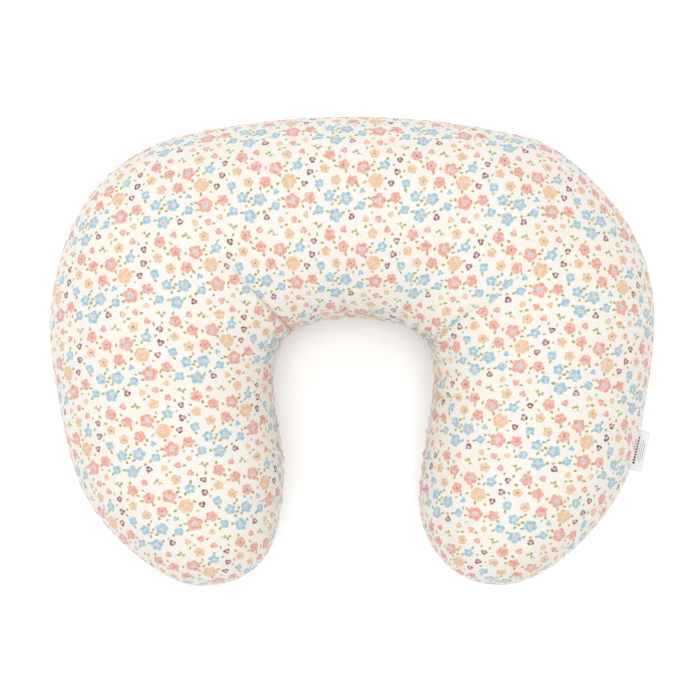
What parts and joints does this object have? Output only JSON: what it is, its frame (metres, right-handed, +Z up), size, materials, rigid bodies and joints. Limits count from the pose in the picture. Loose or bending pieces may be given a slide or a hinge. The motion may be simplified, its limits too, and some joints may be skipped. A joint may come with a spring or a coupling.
{
  "type": "nursing pillow",
  "caption": "C-shaped fibre-filled nursing pillow in a zipped printed cotton cover, with a folded side label, lying flat.",
  "frame": {"origin": "on the resting surface, below the middle of the outer box", "axes": "+Z up; +Y towards the closed back of the C, so the two arms point to -Y; +X to the side that carries the label"},
  "size_m": [0.5601, 0.435, 0.15],
  "materials": {
    "printed_cotton": "matte",
    "casing_cotton": "matte",
    "polyester_fibre": "matte",
    "zip_tape": "matte",
    "nylon_coil": "satin",
    "lacquered_zinc": "gloss",
    "satin_ribbon": "satin"
  },
  "bodies": {
    "pillow": {"cover_top_panel": "printed_cotton", "cover_bottom_panel": "printed_cotton", "casing_top_panel": "casing_cotton", "casing_bottom_panel": "casing_cotton", "casing_label": "satin_ribbon", "fibre_fill": "polyester_fibre", "zipper_tape_upper": "zip_tape", "zipper_tape_lower": "zip_tape", "zipper_coil_upper": "nylon_coil", "zipper_coil_lower": "nylon_coil", "zipper_top_stop_upper": "lacquered_zinc", "zipper_top_stop_lower": "lacquered_zinc", "zipper_bottom_stop": "lacquered_zinc"},
    "zip_slider": {"zipper_slider": "lacquered_zinc"},
    "zip_pull": {"zipper_pull_tab": "lacquered_zinc"},
    "label": {"side_label": "satin_ribbon"}
  },
  "joints": [
    {"name": "zip_travel", "type": "hinge", "parent": "pillow", "child": "zip_slider", "pos_m": [0, -0.484, 0.0591], "axis": [0, 0, -1], "range_deg": [0, 22.3]},
    {"name": "pull_flip", "type": "hinge", "parent": "zip_slider", "child": "zip_pull", "pos_m": [-0.1362, 0.20447, 0.05878], "axis": [-0.0197, 0.0998, 0.9948], "range_deg": [0, 175]},
    {"name": "label_flex", "type": "hinge", "parent": "pillow", "child": "label", "pos_m": [0.26236, -0.09335, 0.05911], "axis": [-0.2195, -0.9756, 0], "range_deg": [-55, 55], "stiffness_Nm_per_rad": 0.002}
  ]
}
